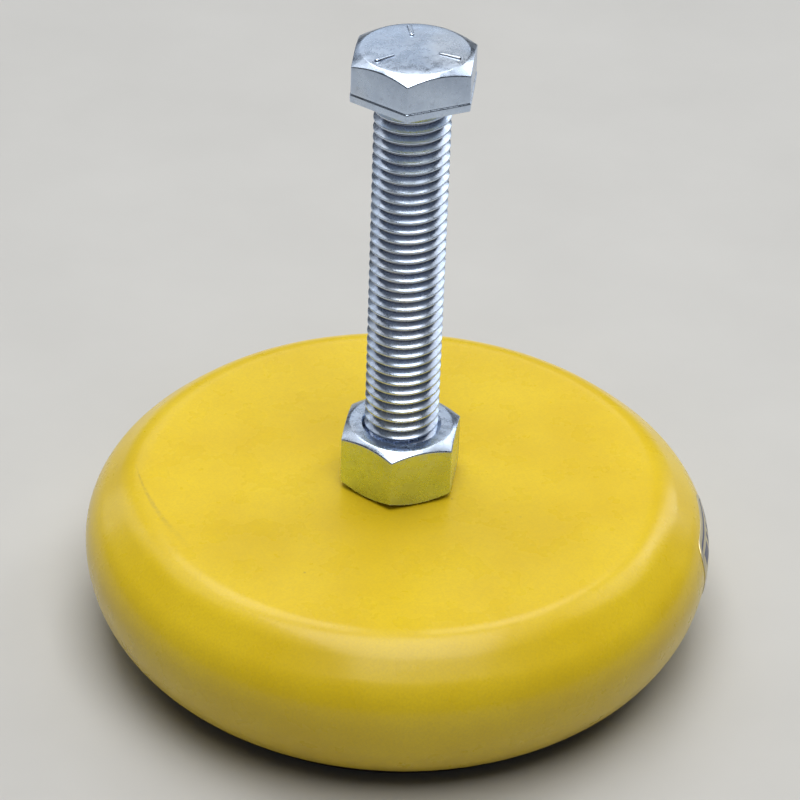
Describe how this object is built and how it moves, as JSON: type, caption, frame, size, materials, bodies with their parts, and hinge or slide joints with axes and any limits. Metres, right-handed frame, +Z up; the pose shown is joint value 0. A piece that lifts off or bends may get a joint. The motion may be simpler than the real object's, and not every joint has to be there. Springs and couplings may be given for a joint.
{
  "type": "leveling mount",
  "caption": "Vibration-isolating leveling mount: a painted domed cap on a rubber foot, raised by a hex-head bolt and locked with a nut.",
  "frame": {"origin": "on the floor under the bolt's axis, at the centre of the rubber sole", "axes": "+Z up the bolt, -Y towards the front corner of the bolt head and nut, +X towards the label"},
  "size_m": [0.1362, 0.136, 0.1401],
  "materials": {
    "yellow_enamel": "satin",
    "zinc_steel": "zinc plated",
    "bare_steel": "oiled",
    "weld_bead": "as welded",
    "nitrile_rubber": "matt",
    "label_foil": "satin"
  },
  "bodies": {
    "base": {"isolator_pad": "nitrile_rubber"},
    "plate": {"load_plate": "bare_steel", "thrust_pad": "bare_steel"},
    "bolt": {"leveling_bolt": "zinc_steel"},
    "housing": {"top_housing": "yellow_enamel", "hub_nut": "bare_steel", "hub_weld": "weld_bead", "rating_label": "label_foil"},
    "nut": {"lock_nut": "zinc_steel"}
  },
  "joints": [
    {"name": "isolator_compress", "type": "slide", "parent": "base", "child": "plate", "axis": [0, 0, -1], "range_m": [0, 0.002], "stiffness_N_per_m": 150000, "deforming": ["isolator_pad"]},
    {"name": "bolt_turn", "type": "hinge", "parent": "plate", "child": "bolt", "pos_m": [0, 0, 0.0156], "axis": [0, 0, -1], "range_deg": [0, 1980]},
    {"name": "housing_lift", "type": "slide", "parent": "plate", "child": "housing", "axis": [0, 0, 1], "range_m": [0, 0.0127]},
    {"name": "nut_travel", "type": "slide", "parent": "housing", "child": "nut", "axis": [0, 0, 1], "range_m": [0, 0.05542]}
  ],
  "couplings": [
    {"joint": "bolt_turn", "follows": "housing_lift", "rad_per_m": 2721.1}
  ]
}
